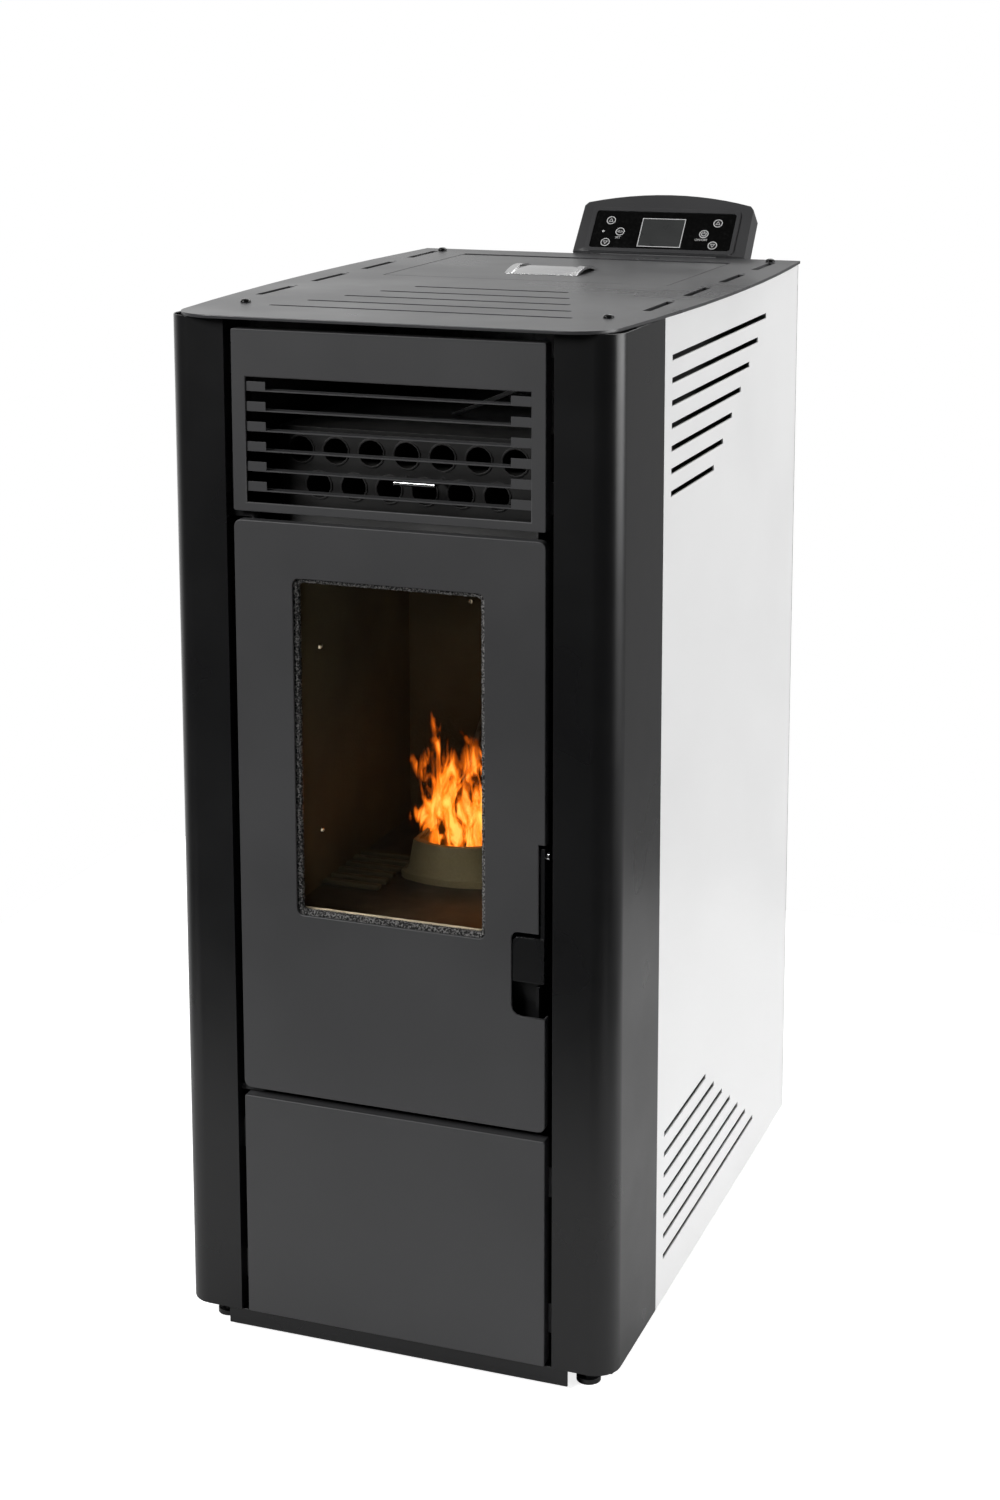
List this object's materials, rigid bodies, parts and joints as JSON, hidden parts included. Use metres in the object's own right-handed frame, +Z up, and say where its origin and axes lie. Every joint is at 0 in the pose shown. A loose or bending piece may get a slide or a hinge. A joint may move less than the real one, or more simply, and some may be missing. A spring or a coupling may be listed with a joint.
{
  "type": "pellet stove",
  "caption": "Tall free-standing pellet stove with a windowed door, louvred warm-air outlet, slotted side panels, a top hopper lid and a tilted control console.",
  "frame": {"origin": "centre of the bounding box in X and Y, on the floor under the feet", "axes": "+Z up, the door faces -Y, +X to the right as seen from the front"},
  "size_m": [0.477, 0.7582, 1.0958],
  "materials": {
    "charcoal": "fine-texture charcoal powder coat",
    "black": "semi-gloss black paint",
    "white": "semi-gloss white paint",
    "plate": "fine-texture anthracite powder coat",
    "cast": "matt heat-dulled cast iron",
    "dark_steel": "matt heat-resistant dark paint",
    "zinc": "galvanised sheet",
    "chrome": "polished chrome",
    "rope": "braided glass-fibre rope",
    "vermiculite": "matt brown-grey fireproof board",
    "glass": "slightly smoked ceramic glass",
    "gloss_black": "gloss black",
    "screw_black": "gloss black steel",
    "key": "black membrane key",
    "display": "grey liquid-crystal display",
    "housing": "charcoal textured plastic",
    "board": "green circuit board with parts",
    "alloy": "cast and turned light alloy"
  },
  "bodies": {
    "stove": {"base_tray": "black", "left_column": "black", "right_column": "black", "left_side_panel": "white", "right_side_panel": "white", "rear_panel": "zinc", "top_plate": "plate", "top_screw_front_left": "screw_black", "top_screw_back_left": "screw_black", "top_screw_front_right": "screw_black", "top_screw_back_right": "screw_black", "grille_panel": "charcoal", "lower_panel": "charcoal", "louvre_1": "charcoal", "louvre_2": "charcoal", "louvre_3": "charcoal", "louvre_4": "charcoal", "louvre_5": "charcoal", "louvre_6": "charcoal", "firebox": "dark_steel", "firebox_liner": "vermiculite", "baffle_plate": "cast", "heat_exchanger": "dark_steel", "pot_holder": "cast", "igniter": "zinc", "hopper": "zinc", "auger_motor": "alloy", "smoke_fan_housing": "zinc", "room_fan_housing": "zinc", "air_pipe": "zinc", "control_board": "board", "power_inlet": "gloss_black", "console_housing": "housing", "console_face": "gloss_black", "console_display": "display"},
    "door": {"door_panel": "charcoal", "door_frame": "black", "door_glass": "glass", "glass_rope": "rope", "door_rope": "rope", "handle_pin": "chrome"},
    "door_handle": {"door_handle": "black"},
    "lid": {"hopper_lid": "plate", "lid_pull": "chrome"},
    "scraper": {"tube_scraper": "chrome"},
    "ash_pan": {"ash_pan": "zinc"},
    "burn_pot": {"burn_pot": "cast"},
    "auger": {"auger": "alloy"},
    "smoke_fan_wheel": {"smoke_fan_wheel": "alloy"},
    "room_fan_wheel": {"room_fan_wheel": "alloy"},
    "foot_front_left": {"foot_front_left": "black"},
    "foot_front_right": {"foot_front_right": "black"},
    "foot_back_left": {"foot_back_left": "black"},
    "foot_back_right": {"foot_back_right": "black"},
    "key_left_up": {"key_left_up": "key"},
    "key_left_down": {"key_left_down": "key"},
    "key_set": {"key_set": "key"},
    "key_right_up": {"key_right_up": "key"},
    "key_right_down": {"key_right_down": "key"},
    "key_power": {"key_power": "key"}
  },
  "joints": [
    {"name": "door_hinge", "type": "hinge", "parent": "stove", "child": "door", "pos_m": [-0.142, -0.35085, 0.5], "axis": [0, 0, -1], "range_deg": [0, 100]},
    {"name": "handle_pivot", "type": "hinge", "parent": "door", "child": "door_handle", "pos_m": [0.1542, -0.35685, 0.533], "axis": [-1, 0, 0], "range_deg": [-3, 30]},
    {"name": "lid_hinge", "type": "hinge", "parent": "stove", "child": "lid", "pos_m": [0, 0.24615, 1.024], "axis": [-1, 0, 0], "range_deg": [0, 95]},
    {"name": "scraper_slide", "type": "slide", "parent": "stove", "child": "scraper", "axis": [0, -1, 0], "range_m": [0, 0.12]},
    {"name": "ash_pan_slide", "type": "slide", "parent": "stove", "child": "ash_pan", "axis": [0, -1, 0], "range_m": [0, 0.1225]},
    {"name": "burn_pot_lift", "type": "slide", "parent": "stove", "child": "burn_pot", "axis": [0, 0, 1], "range_m": [0, 0.04]},
    {"name": "auger_spin", "type": "hinge", "parent": "stove", "child": "auger", "pos_m": [0, 0.19315, 0.531], "axis": [0, -0.7071, 0.7071], "continuous": true},
    {"name": "smoke_fan_spin", "type": "hinge", "parent": "stove", "child": "smoke_fan_wheel", "pos_m": [-0.095, 0.06315, 0.165], "axis": [0, -1, 0], "continuous": true},
    {"name": "room_fan_spin", "type": "hinge", "parent": "stove", "child": "room_fan_wheel", "pos_m": [0.085, 0.08515, 0.13], "axis": [-1, 0, 0], "continuous": true},
    {"name": "foot_front_left_screw", "type": "hinge", "parent": "stove", "child": "foot_front_left", "pos_m": [-0.193, -0.33685, 0.01], "axis": [0, 0, 1], "continuous": true},
    {"name": "foot_front_right_screw", "type": "hinge", "parent": "stove", "child": "foot_front_right", "pos_m": [0.193, -0.33685, 0.01], "axis": [0, 0, 1], "continuous": true},
    {"name": "foot_back_left_screw", "type": "hinge", "parent": "stove", "child": "foot_back_left", "pos_m": [-0.193, 0.26315, 0.01], "axis": [0, 0, 1], "continuous": true},
    {"name": "foot_back_right_screw", "type": "hinge", "parent": "stove", "child": "foot_back_right", "pos_m": [0.193, 0.26315, 0.01], "axis": [0, 0, 1], "continuous": true},
    {"name": "key_left_up_press", "type": "slide", "parent": "stove", "child": "key_left_up", "axis": [0, 0.7649, -0.6441], "range_m": [0, 0.0005], "stiffness_N_per_m": 800},
    {"name": "key_left_down_press", "type": "slide", "parent": "stove", "child": "key_left_down", "axis": [0, 0.7649, -0.6441], "range_m": [0, 0.0005], "stiffness_N_per_m": 800},
    {"name": "key_set_press", "type": "slide", "parent": "stove", "child": "key_set", "axis": [0, 0.7649, -0.6441], "range_m": [0, 0.0005], "stiffness_N_per_m": 800},
    {"name": "key_right_up_press", "type": "slide", "parent": "stove", "child": "key_right_up", "axis": [0, 0.7649, -0.6441], "range_m": [0, 0.0005], "stiffness_N_per_m": 800},
    {"name": "key_right_down_press", "type": "slide", "parent": "stove", "child": "key_right_down", "axis": [0, 0.7649, -0.6441], "range_m": [0, 0.0005], "stiffness_N_per_m": 800},
    {"name": "key_power_press", "type": "slide", "parent": "stove", "child": "key_power", "axis": [0, 0.7649, -0.6441], "range_m": [0, 0.0005], "stiffness_N_per_m": 800}
  ],
  "couplings": [
    {"joint": "ash_pan_slide", "follows": "door_hinge", "m_per_rad": 0.07}
  ]
}
